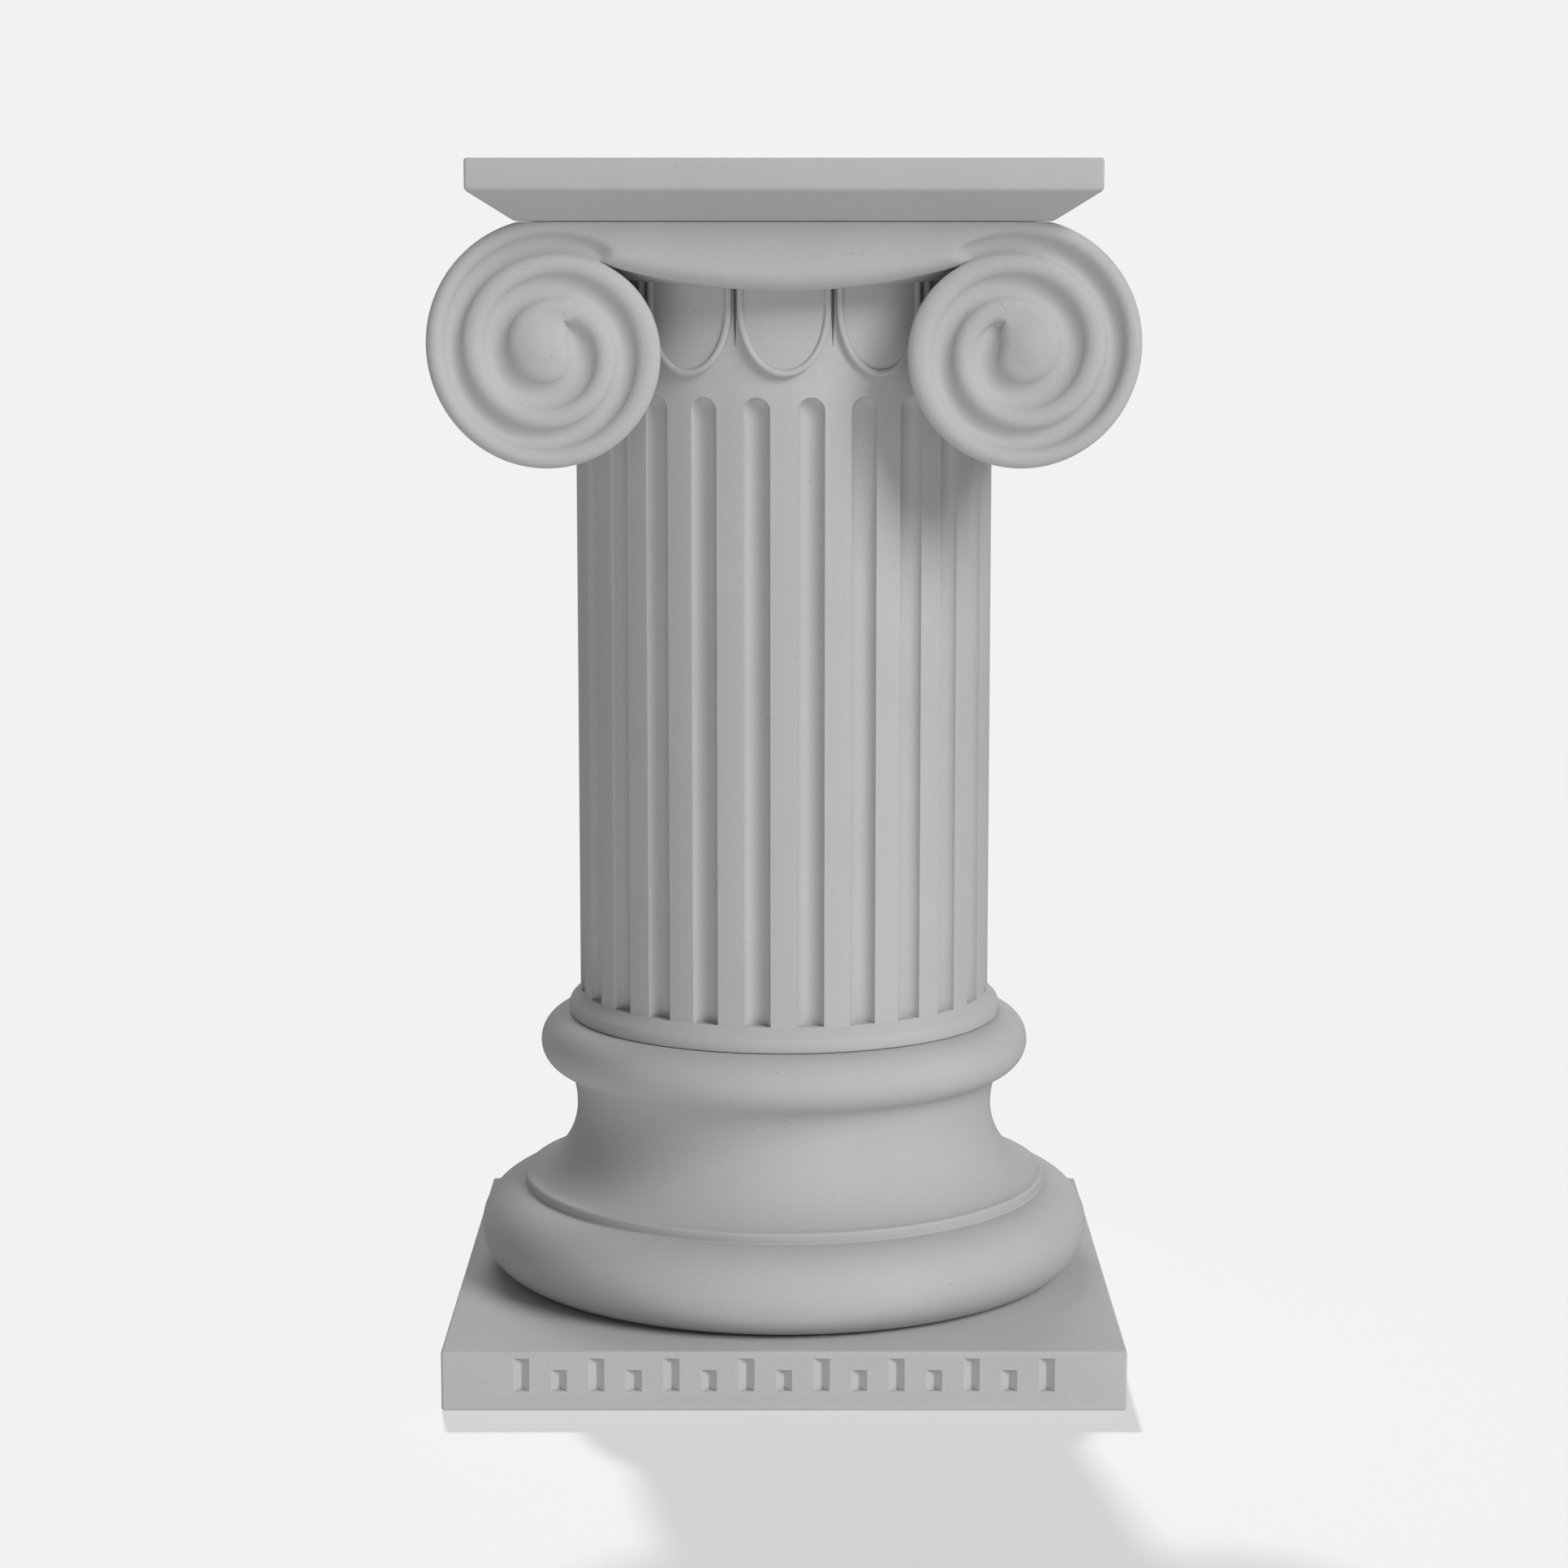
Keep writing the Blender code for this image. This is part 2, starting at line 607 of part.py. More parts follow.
def add_bolster(bm, side, front, back):
    """Walls from the front face's border to the back one's, drawn in at the waist."""
    eye_x, eye_z = scroll_place(0.0, 0.0)
    rows = [[vertex for vertex, x, z, pull in front]]
    for y, share in bolster_sections():
        row = []
        for vertex, x, z, pull in front:
            scale = 1 - pull * (1 - share)
            row.append(bm.verts.new((side * (eye_x + (x - eye_x) * scale), y, eye_z + (z - eye_z) * scale)))
        rows.append(row)
    rows.append([vertex for vertex, x, z, pull in back])
    for first, second in zip(rows, rows[1:]):
        add_strip(bm, first, second)


def build_capital():
    bm = bmesh.new()
    for side in (-1, 1):
        front = scroll_face(bm, side, -1)
        back = scroll_face(bm, side, 1)
        add_bolster(bm, side, front, back)
    add_neck(bm)
    cut(add_object("capital", bm), shaft_room())


# Abacus

def build_abacus():
    bm = bmesh.new()
    slope_top = ABACUS_BED + ABACUS_SLOPE_HEIGHT
    stack_rings(bm, [square(ABACUS_BED_WIDTH, ABACUS_BED + JOINT), square(ABACUS_TOP_WIDTH, slope_top),
                     square(ABACUS_TOP_WIDTH, ABACUS_TOP)])
    add_object("abacus", bm)


clear_scene()
build_plinth()
build_base()
build_shaft()
build_capital()
build_abacus()
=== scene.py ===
"""Looks of the short ionic column: cast stone meshes in place of the solids, studio and camera.

Everything is in metres in the frame of the solids: the front looks along -Y, +Z is up, and the
origin is the middle of the plinth's underside.
"""
import math

import bmesh
import bpy
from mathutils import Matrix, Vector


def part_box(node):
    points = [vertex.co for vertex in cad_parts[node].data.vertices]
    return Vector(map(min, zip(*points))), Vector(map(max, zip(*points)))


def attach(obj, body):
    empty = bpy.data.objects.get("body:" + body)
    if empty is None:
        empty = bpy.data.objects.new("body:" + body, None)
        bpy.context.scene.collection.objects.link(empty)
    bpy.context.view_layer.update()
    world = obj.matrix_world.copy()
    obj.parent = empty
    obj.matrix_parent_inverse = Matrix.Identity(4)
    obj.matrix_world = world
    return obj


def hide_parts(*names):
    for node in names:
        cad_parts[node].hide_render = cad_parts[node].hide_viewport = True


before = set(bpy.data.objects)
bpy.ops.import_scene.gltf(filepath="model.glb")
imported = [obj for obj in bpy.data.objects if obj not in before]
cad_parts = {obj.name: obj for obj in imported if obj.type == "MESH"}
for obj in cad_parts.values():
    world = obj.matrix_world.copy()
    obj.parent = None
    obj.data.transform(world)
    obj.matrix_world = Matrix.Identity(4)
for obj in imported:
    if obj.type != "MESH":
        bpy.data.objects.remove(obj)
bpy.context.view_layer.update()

# Sizes read from the solids
PLINTH_WIDTH = 2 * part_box("plinth")[1].x
BASE_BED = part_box("plinth")[1].z
SHAFT_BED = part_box("base")[1].z
CAPITAL_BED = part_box("shaft")[1].z
ABACUS_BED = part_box("capital")[1].z
ABACUS_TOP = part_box("abacus")[1].z
ABACUS_TOP_WIDTH = 2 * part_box("abacus")[1].x
LOWER_TORUS_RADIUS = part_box("base")[1].x
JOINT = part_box("base")[0].z - BASE_BED

# Rounding of the blocks' edges
ARRIS = 0.0008
BLOCK_ARRIS = 0.0014
FILLET_ARRIS = 0.0016
ARRIS_SEGMENTS = 4

# Cut strokes on the plinth
STROKE_MARGIN = 0.0340
STROKE_FOOT = 0.0102
STROKE_HEAD = 0.0038
STROKE_PITCH = 0.0186
STROKE_WIDTH = 0.0080
SHORT_STROKE = 0.65
STROKE_DEPTH = 0.0030

# Shaft
SHAFT_RADIUS = 0.1084
FOOT_RING_STEP = 0.0057
FOOT_RING_HEIGHT = 0.0070
FOOT_SLOPE_HEIGHT = 0.0057
NECK_HEIGHT = 0.0079
FLUTE_COUNT = 25
FLUTE_SHARE = 0.5
FLUTE_DEPTH = 0.0058
HEAD_REACH = 0.9                  # share of the open bed above it that the shaft's head fills

# Attic base
TORUS_LEDGE = 0.0005
UPPER_TORUS_HEIGHT = 0.0298
SCOTIA_UPPER_HEIGHT = 0.0196
SCOTIA_LOWER_HEIGHT = 0.0369
THROAT_STEP = 0.0021
SCOTIA_FLARE = 0.0247
FILLET_LEDGE = 0.0034
BASE_FILLET_HEIGHT = 0.0056
LOWER_TORUS_HEIGHT = 0.0456

# Egg band
EGG_COUNT = 14
EGG_GAP = 0.0028
EGG_LIFT = 0.0021
EGG_ROUND_HEIGHT = 0.0333
EGG_TOP_COVER = 0.0180
EGG_RIM_WIDTH = 0.0034
EGG_RIM_RISE = 0.0036
EGG_FACE_RISE = 0.0019
EGG_ROOT = 0.0040
EGG_ROUNDING = 0.0015

# Slots between the eggs
SLOT_DEPTH = 0.0050
SLOT_HALF = 0.48                  # half of a slot's width, as a share of the gap
SLOT_LIFT = 0.45                  # height of a slot's foot, as a share of the eggs' round height
SLOT_FOOT_SHARE = 0.15            # of the slot's full width and depth, at its foot
SLOT_SPRING_SHARE = 0.85          # of them where the eggs' sides become straight

# Scroll block
CREST_STEP = 0.02195
EYE_STEP = 0.00525
VOLUTE_RADIUS = 0.0607
VOLUTE_CUT = 0.0016
RELIEF = 0.0027
EYE_RISE = 0.0060
EYE_REACH = 0.0172                # from the eye's middle to the foot of its dome
EYE_FLANK = 0.0055                # width of the round flank around the eye
EYE_SHIFT = 0.0062
BAND_DROP = 0.0330
LIP_DEPTH = 0.0055
JUNCTION_BLEND = 0.0040
MELT_TURN = math.radians(9)       # over which the band turns into the first ridge and channel
RUN_OUT = math.radians(24)        # over which the channel's end rises to the ridge's height
BOLSTER_RIM = 0.0080
BOLSTER_WAIST = 0.76
STRAP_RISE = 0.05
STRAP_WIDTH = 0.0270
STRAP_STEP = 0.0012

# Abacus
ABACUS_SLOPE_HEIGHT = 0.0150

# Sizes that follow
CAPITAL_DEPTH = 2 * (SHAFT_RADIUS + CREST_STEP)
VOLUTE_SPACING = 2 * (SHAFT_RADIUS + EYE_STEP)
VOLUTE_DROP = VOLUTE_RADIUS - VOLUTE_CUT
FOOT_RING_RADIUS = SHAFT_RADIUS + FOOT_RING_STEP
UPPER_TORUS_RADIUS = FOOT_RING_RADIUS + TORUS_LEDGE + UPPER_TORUS_HEIGHT / 2
SCOTIA_THROAT_RADIUS = SHAFT_RADIUS + THROAT_STEP
BASE_FILLET_RADIUS = SCOTIA_THROAT_RADIUS + SCOTIA_FLARE + FILLET_LEDGE
HEAD_TOP = CAPITAL_BED + HEAD_REACH * JOINT
BAND_FOOT = ABACUS_BED - BAND_DROP
EGG_SPRING = CAPITAL_BED + EGG_LIFT + EGG_ROUND_HEIGHT
EGG_TOP = BAND_FOOT + EGG_TOP_COVER
SLOT_FOOT = CAPITAL_BED + EGG_LIFT + SLOT_LIFT * EGG_ROUND_HEIGHT
SLOT_TOP = BAND_FOOT + EGG_TOP_COVER / 2

# Scroll radii at each quarter turn, as shares of the volute's radius. The first value of
# each row is for the quarter before the top, and the rows then run outward, down and in.
RIDGE_OUTER = (1.020, 1.010, 1.000, 0.990, 0.875, 0.723, 0.712, 0.677, 0.512, 0.367, 0.348,
               0.297, 0.140, 0.247)
RIDGE_INNER = (0.939, 0.871, 0.858, 0.839, 0.682, 0.555, 0.534, 0.511, 0.338, 0.180)
QUARTER = math.radians(90)
EDGE_SLOPE = math.radians(62)
LIP_SLOPE = math.radians(60)

# Fineness of the meshes
BASE_SIDES = 288
NECK_SIDES = 200
ARC_STEP = math.radians(4)
FLUTE_FACETS = 24
FILLET_FACETS = 6
EGG_FACETS = 36
EGG_COLUMNS = 16
EGG_ROUND_STEPS = 4
TURN_STEPS = 150
JUNCTION_STEPS = 15
PULL_STEPS = 3 * JUNCTION_STEPS   # over which the bolster's waist comes to pull the wall in
EYE_STEPS = 290
RIDGE_STRIPS = 12
CHANNEL_STRIPS = 10
EYE_RINGS = 14
BAND_STEPS = 28
BOLSTER_STEPS = 26
STRAP_EDGE_STEPS = 4

SHARP_ANGLE = math.radians(32)
WELD = 0.00001

# Cast stone. The tones are factors on the colour.
STONE_DARK = (0.466, 0.474, 0.472, 1)
STONE_LIGHT = (0.494, 0.502, 0.499, 1)
CLOUD_SCALE = 14.0                # noise cells in a metre, as are the next three
GRAIN_SCALE = 950.0
PORE_SCALE = 230.0
PORE_SIZE_SCALE = 170.0
GRAIN_BUMP = {"Strength": 0.25, "Distance": 0.0002}
PORE_BUMP = {"Strength": 0.5, "Distance": 0.0003}
NOISE_SPAN = (0.3, 0.7)           # of the noise's values that is used
GRAIN_TONES = (0.95, 1.04)
PORE_NOISE = (0.58, 0.80)
PORE_SIZES = (0.0, 0.24)          # in cells of the pores' pattern
PORE_EDGE = (-0.04, 0.02)
PORE_TONES = (0.90, 1.0)
WORN_SPAN = (0.50, 0.60)          # of the pointiness, from flat to an arris
WORN_TONES = (1.0, 1.06)
ROUGHNESS = (0.72, 0.92)
SPECULAR = 0.3

# Studio
BACKDROP = (0.880, 0.888, 0.905, 1)
SKY_SPAN = (-0.35, 0.35)
SKY_STRENGTHS = (0.52, 0.24)
FLOOR_COLOUR = (0.30, 0.30, 0.30, 1)
FLOOR_FADE = (0.9, 2.4)
FLOOR_SIDES = 96
FLOOR_DROP = 0.0002

# Lamps: azimuth, 0 at the front and 90 at the right, elevation, strength, spread and colour
STONE_LAMPS = {
    "key": (47, 34, 2.18, 30, (0.985, 0.990, 0.985)),
    "fill": (-4, -28, 0.80, 50, (1.000, 0.995, 0.985)),
    "rim": (-168, 40, 1.00, 30, (0.930, 0.970, 1.000)),
}
FLOOR_LAMPS = {
    "shadow": (-171.5, 42.5, 4.34, 3.5, (0.839, 0.893, 1.000)),
    "floor_wash": (0, 90, 6.13, 1, (1.000, 0.988, 0.966)),
}

# Camera
LENS = 85
SENSOR = 36
CAMERA_PLACE = (0, -1.94097, 0.57915)
CAMERA_TILT = math.radians(81.505)


# Meshes

def add_object(name, bm):
    """Turn a bmesh into an object and free it."""
    bmesh.ops.remove_doubles(bm, verts=bm.verts, dist=WELD)
    bmesh.ops.recalc_face_normals(bm, faces=bm.faces)
    mesh = bpy.data.meshes.new(name)
    bm.to_mesh(mesh)
    bm.free()
    item = bpy.data.objects.new(name, mesh)
    bpy.context.scene.collection.objects.link(item)
    return item


def apply_modifiers(item):
    """Replace an object's mesh by what its modifiers make of it."""
    graph = bpy.context.evaluated_depsgraph_get()
    mesh = bpy.data.meshes.new_from_object(item.evaluated_get(graph))
    item.modifiers.clear()
    item.data = mesh


def smooth(item):
    item.data.shade_smooth()
    item.data.set_sharp_from_angle(angle=SHARP_ANGLE)


def cut(target, tool, with_self=False):
    """Cut a tool out of the target and delete the tool."""
    modifier = target.modifiers.new("cut", "BOOLEAN")
    modifier.operation = "DIFFERENCE"
    modifier.solver = "EXACT"
    modifier.use_self = with_self
    modifier.object = tool
    apply_modifiers(target)
    bpy.data.objects.remove(tool, do_unlink=True)


def round_edges(item, width):
    """Round an object's sharp edges off."""
    modifier = item.modifiers.new("arris", "BEVEL")
    modifier.width = width
    modifier.segments = ARRIS_SEGMENTS
    modifier.limit_method = "ANGLE"
    modifier.angle_limit = SHARP_ANGLE
    apply_modifiers(item)


def around(radius, angle, height):
    """Point on a circle about the column's axis, with angle 0 at the front."""
    return (radius * math.sin(angle), -radius * math.cos(angle), height)


def arc(centre_r, centre_z, radius, start, end):
    """Points of a profile's arc, as radius and height, ends included."""
    steps = max(2, math.ceil(abs(end - start) / ARC_STEP))
    angles = [start + (end - start) * i / steps for i in range(steps + 1)]
    return [(centre_r + radius * math.cos(a), centre_z + radius * math.sin(a)) for a in angles]


def square(width, height):
    half = width / 2
    corners = ((-1, -1), (1, -1), (1, 1), (-1, 1))
    return [(x * half, y * half, height) for x, y in corners]


def add_face(bm, corners):
    """Face between corners of which some may be the same."""
    unique = list(dict.fromkeys(corners))
    if len(unique) > 2:
        bm.faces.new(unique)


def add_strip(bm, first, second):
    """Faces between two columns of equally many points."""
    for a, b, c, d in zip(first, first[1:], second[1:], second):
        add_face(bm, (a, b, c, d))


def join_rings(bm, lower, upper):
    """Close two rings of equally many points with a band of faces."""
    count = len(lower)
    for i in range(count):
        j = (i + 1) % count
        bm.faces.new((lower[i], lower[j], upper[j], upper[i]))


def stack_rings(bm, rings):
    """Solid from rings of points, each joined to the next and the ends closed."""
    rows = [[bm.verts.new(point) for point in ring] for ring in rings]
    for lower, upper in zip(rows, rows[1:]):
        join_rings(bm, lower, upper)
    bm.faces.new(list(reversed(rows[0])))
    bm.faces.new(rows[-1])


# Plinth

def stroke_cutters():
    """Row of upright strokes, long and short by turns, cut with a hollow wedge."""
    bm = bmesh.new()
    row = PLINTH_WIDTH - 2 * STROKE_MARGIN - STROKE_WIDTH
    count = 2 * int(row / STROKE_PITCH / 2) + 1
    face = -PLINTH_WIDTH / 2
    for i in range(count):
        middle = (i - (count - 1) / 2) * STROKE_PITCH
        height = (BASE_BED - STROKE_FOOT - STROKE_HEAD) * (SHORT_STROKE if i % 2 else 1)
        rings = []
        for z in (STROKE_FOOT, STROKE_FOOT + height):
            rings.append([(middle - STROKE_WIDTH / 2, face, z), (middle, face - STROKE_DEPTH, z),
                          (middle + STROKE_WIDTH / 2, face, z), (middle, face + STROKE_DEPTH, z)])
        stack_rings(bm, rings)
    return add_object("strokes", bm)


def build_plinth():
    bm = bmesh.new()
    stack_rings(bm, [square(PLINTH_WIDTH, 0.0), square(PLINTH_WIDTH, BASE_BED)])
    item = add_object("stone_plinth", bm)
    round_edges(item, BLOCK_ARRIS)
    cut(item, stroke_cutters())
    return item


# Attic base

def hollow_arc(throat_z, height, flare):
    """Arc of the scotia from its throat to where it ends, upright at the throat."""
    radius = (height * height + flare * flare) / (2 * flare)
    turn = math.atan2(height, radius - flare)
    return arc(SCOTIA_THROAT_RADIUS + radius, throat_z, radius, math.pi, math.pi - turn)


def base_profile():
    """Radius and height of the turned outline, from the bed up."""
    tube = LOWER_TORUS_HEIGHT / 2
    points = arc(LOWER_TORUS_RADIUS - tube, BASE_BED + tube, tube, -QUARTER, QUARTER)
    points = [(r, max(height, BASE_BED + JOINT)) for r, height in points]
    z = BASE_BED + LOWER_TORUS_HEIGHT
    cove = FILLET_ARRIS / 3
    points.append((BASE_FILLET_RADIUS + cove, z))
    points.append((BASE_FILLET_RADIUS, z + cove))
    z += BASE_FILLET_HEIGHT
    points += arc(BASE_FILLET_RADIUS - FILLET_ARRIS, z - FILLET_ARRIS, FILLET_ARRIS, 0, QUARTER)
    throat = z + SCOTIA_LOWER_HEIGHT
    lower = hollow_arc(throat, SCOTIA_LOWER_HEIGHT, SCOTIA_FLARE)
    points += [(r, 2 * throat - height) for r, height in reversed(lower)]
    tube = UPPER_TORUS_HEIGHT / 2
    crown = UPPER_TORUS_RADIUS - tube
    points += hollow_arc(throat, SCOTIA_UPPER_HEIGHT, crown - SCOTIA_THROAT_RADIUS)[1:-1]
    points += arc(crown, throat + SCOTIA_UPPER_HEIGHT + tube, tube, -QUARTER, QUARTER)
    return points


def build_base():
    bm = bmesh.new()
    angles = [2 * math.pi * i / BASE_SIDES for i in range(BASE_SIDES)]
    stack_rings(bm, [[around(r, a, z) for a in angles] for r, z in base_profile()])
    return add_object("stone_base", bm)


# Shaft

def flute_column(bm, middle, half):
    """One flute with its round head and the stone above it. Returns its rows of points: the
    foot's lip, the left and the right edge, and the top, the lip and top from left to right."""
    reach = half * SHAFT_RADIUS
    foot = SHAFT_BED + FOOT_RING_HEIGHT + FOOT_SLOPE_HEIGHT
    spring = CAPITAL_BED - NECK_HEIGHT - reach

    def point(across, up, height):
        """Point of the hollow: across and up are shares of half its width."""
        hollow = FLUTE_DEPTH * math.sqrt(max(0.0, 1 - across * across - up * up))
        return bm.verts.new(around(SHAFT_RADIUS - hollow, middle + across * half, height))

    shares = [-math.cos(math.pi * j / FLUTE_FACETS) for j in range(FLUTE_FACETS + 1)]
    low = [point(s, 0, foot) for s in shares]
    high = [point(s, 0, spring) for s in shares]
    for j in range(FLUTE_FACETS):
        bm.faces.new((low[j], low[j + 1], high[j + 1], high[j]))

    turns = [math.pi * (k / FLUTE_FACETS - 0.5) for k in range(1, FLUTE_FACETS)]
    arches = []
    for j in range(FLUTE_FACETS // 2):
        size = -shares[j]
        crown = [point(size * math.sin(t), size * math.cos(t),
                       spring + reach * size * math.cos(t)) for t in turns]
        arches.append([high[j]] + crown + [high[FLUTE_FACETS - j]])
    arches.append([high[FLUTE_FACETS // 2]] * (FLUTE_FACETS + 1))
    for outer, inner in zip(arches, arches[1:]):
        add_strip(bm, outer, inner)

    top = [bm.verts.new(around(SHAFT_RADIUS, middle + s * half, HEAD_TOP)) for s in shares]
    add_strip(bm, arches[0], top)
    lip = [bm.verts.new(around(SHAFT_RADIUS, middle + s * half, foot)) for s in shares[1:-1]]
    bm.faces.new(list(reversed(low)) + lip)
    return [low[0]] + lip + [low[-1]], (low[0], high[0]), (low[-1], high[-1]), top


def build_shaft():
    bm = bmesh.new()
    pitch = 2 * math.pi / FLUTE_COUNT
    half = pitch * FLUTE_SHARE / 2
    gap = pitch - 2 * half
    columns = [flute_column(bm, (i + 0.5) * pitch, half) for i in range(FLUTE_COUNT)]
    foot_top = []
    head_top = []
    for i, (lip, _, right, top) in enumerate(columns):
        _, next_left, _, next_top = columns[(i + 1) % FLUTE_COUNT]
        start = (i + 0.5) * pitch + half
        levels = (right[0].co.z, right[1].co.z, HEAD_TOP)
        previous = [*right, top[-1]]
        foot_top += lip
        head_top += top
        for k in range(1, FILLET_FACETS + 1):
            if k == FILLET_FACETS:
                column = [*next_left, next_top[0]]
            else:
                column = [bm.verts.new(around(SHAFT_RADIUS, start + gap * k / FILLET_FACETS, z))
                          for z in levels]
                foot_top.append(column[0])
                head_top.append(column[-1])
            add_strip(bm, previous, column)
            previous = column
    bm.faces.new(head_top)

    angles = [math.atan2(v.co.x, -v.co.y) for v in foot_top]
    bed = SHAFT_BED + JOINT
    ring = SHAFT_BED + FOOT_RING_HEIGHT
    profile = [(FOOT_RING_RADIUS - ARRIS / 2, bed),
               (FOOT_RING_RADIUS, bed + ARRIS / 2),
               (FOOT_RING_RADIUS, ring - ARRIS),
               (FOOT_RING_RADIUS - ARRIS / 3, ring - ARRIS / 4),
               (FOOT_RING_RADIUS - ARRIS, ring + ARRIS)]
    rows = [[bm.verts.new(around(r, a, z)) for a in angles] for r, z in profile]
    rows.append(foot_top)
    for lower, upper in zip(rows, rows[1:]):
        join_rings(bm, lower, upper)
    bm.faces.new(list(reversed(rows[0])))
    return add_object("stone_shaft", bm)


# Egg band

def egg_outline(inset):
    """Half widths and heights of a U-shaped egg, from its top down to its lowest point."""
    arc_width = 2 * math.pi * SHAFT_RADIUS / EGG_COUNT
    half = (arc_width - EGG_GAP) / 2 - inset
    drop = EGG_ROUND_HEIGHT - inset
    points = [(half, EGG_TOP)]
    for i in range(EGG_FACETS + 1):
        turn = QUARTER * i / EGG_FACETS
        points.append((half * math.cos(turn), EGG_SPRING - drop * math.sin(turn)))
    return points


def rim_section():
    """Section of an egg's rim from its root over its round crest to the egg's face, each point
    as its distance in from the outline and its height over the neck."""
    r = EGG_ROUNDING
    turns = [QUARTER * i / EGG_ROUND_STEPS for i in range(EGG_ROUND_STEPS + 1)]
    return [(0.0, -EGG_ROOT),
            *((r - r * math.cos(t), EGG_RIM_RISE - r + r * math.sin(t)) for t in turns),
            *((EGG_RIM_WIDTH - r + r * math.sin(t), EGG_RIM_RISE - r + r * math.cos(t))
              for t in turns),
            (EGG_RIM_WIDTH, EGG_FACE_RISE)]


def add_egg(bm, middle):
    """One egg with its raised rim, rooted in the neck."""
    def place(across, height, z):
        return bm.verts.new(around(SHAFT_RADIUS + height, middle + across / SHAFT_RADIUS, z))

    rows = []
    for inset, height in rim_section():
        side = egg_outline(inset)
        loop = [(-a, z) for a, z in side] + [(a, z) for a, z in reversed(side[:-1])]
        rows.append([place(a, height, z) for a, z in loop])
    for lower, upper in zip(rows, rows[1:]):
        add_strip(bm, lower, upper)

    rim = rows[-1]
    last = len(rim) - 1
    inner = egg_outline(EGG_RIM_WIDTH)
    face = []
    for i, (half, z) in enumerate(inner[:-1]):
        inside = [place(half * (2 * k / EGG_COLUMNS - 1), EGG_FACE_RISE, z)
                  for k in range(1, EGG_COLUMNS)]
        face.append([rim[i]] + inside + [rim[last - i]])
    face.append([rim[len(inner) - 1]] * (EGG_COLUMNS + 1))
    for upper, lower in zip(face, face[1:]):
        add_strip(bm, upper, lower)
    bm.faces.new(rows[0])
    bm.faces.new([row[0] for row in rows] + face[0][1:-1] + [row[last] for row in reversed(rows)])


def add_cylinder(bm, radius, low, high):
    angles = [2 * math.pi * (i + 0.5) / NECK_SIDES for i in range(NECK_SIDES)]
    stack_rings(bm, [[around(radius, a, z) for a in angles] for z in (low, high)])


def add_neck(bm):
    """Round neck with its eggs, up into the scroll block and down past the capital's bed."""
    add_cylinder(bm, SHAFT_RADIUS, CAPITAL_BED - NECK_HEIGHT, EGG_TOP + EGG_ROOT)
    for i in range(EGG_COUNT):
        add_egg(bm, 2 * math.pi * i / EGG_COUNT)


def capital_room():
    """Room for the head of the shaft, and the narrow slots between the eggs."""
    bm = bmesh.new()
    radius = (SHAFT_RADIUS + JOINT) / math.cos(math.pi / NECK_SIDES)
    add_cylinder(bm, radius, SHAFT_BED, CAPITAL_BED + JOINT)
    face = SHAFT_RADIUS + EGG_FACE_RISE / 2
    levels = ((SLOT_FOOT, SLOT_FOOT_SHARE), (EGG_SPRING, SLOT_SPRING_SHARE), (SLOT_TOP, 1.0))
    for i in range(EGG_COUNT):
        middle = 2 * math.pi * (i + 0.5) / EGG_COUNT
        rings = []
        for z, share in levels:
            half = SLOT_HALF * EGG_GAP * share / SHAFT_RADIUS
            back = SHAFT_RADIUS - SLOT_DEPTH * share
            rings.append([around(face, middle - half, z), around(face, middle + half, z),
                          around(back, middle + half / 2, z), around(back, middle - half / 2, z)])
        stack_rings(bm, rings)
    return add_object("capital_room", bm)


# Scroll block

def quarter_radius(shares, angle):
    """Smooth curve through the radii given at each quarter turn."""
    place = angle / QUARTER + 1
    i = min(max(int(math.floor(place)), 0), len(shares) - 2)
    t = place - i
    before = shares[max(i - 1, 0)]
    after = shares[min(i + 2, len(shares) - 1)]
    start, end = shares[i], shares[i + 1]
    curve = (start + 0.5 * t * (end - before)
             + t * t * (before - 2.5 * start + 2 * end - 0.5 * after)
             + t ** 3 * (1.5 * (start - end) + 0.5 * (after - before)))
    return VOLUTE_RADIUS * curve


def rise(share):
    """Height of a round ridge, 0 at its crease and 1 from its middle on."""
    share = min(max(share, 0.0), 1.0)
    sine = math.sin(EDGE_SLOPE) * (1 - share)
    edge = math.cos(EDGE_SLOPE)
    return (math.sqrt(1 - sine * sine) - edge) / (1 - edge)


def ease(share):
    """Share that leaves 0 and reaches 1 softly."""
    return share * share * (3 - 2 * share)


def spaced(strips):
    """Shares from 0 to 1, closer at both ends."""
    return [(1 - math.cos(math.pi * i / strips)) / 2 for i in range(strips + 1)]


def step_angle(step):
    return 2 * math.pi * step / TURN_STEPS


def scroll_place(radius, angle):
    """X and Z of a point of the right-hand scroll, angle 0 at its top and then outward."""
    return (VOLUTE_SPACING / 2 + radius * math.sin(angle),
            ABACUS_BED - VOLUTE_DROP + radius * math.cos(angle))


def ridge_radius(angle):
    """Radius of the ridge's outer edge, and no limit before the scroll begins."""
    return quarter_radius(RIDGE_OUTER, angle) if angle >= 0 else math.inf


def outer_edge(angle):
    """Radius of the ridge's outer edge, cut level under the abacus."""
    radius = ridge_radius(angle)
    if abs(angle) < QUARTER:
        radius = min(radius, VOLUTE_DROP / math.cos(angle))
    return radius


def melt(angle):
    """Share of the scroll's own section, 0 where the band begins and 1 from MELT_TURN on."""
    return ease(min(1.0, (angle - step_angle(-JUNCTION_STEPS)) / MELT_TURN))


def run_out(angle):
    """Share of the channel's depth that is left, 0 where it ends beside the eye."""
    return ease(min(1.0, max(0.0, (step_angle(EYE_STEPS) - angle) / RUN_OUT)))


def lip_height(part):
    """Height of the band's face, at a share of the way from its flat part down its lip."""
    drop = 1 - math.sqrt(1 - (part * math.sin(LIP_SLOPE)) ** 2)
    return RELIEF - LIP_DEPTH * drop / (1 - math.cos(LIP_SLOPE))


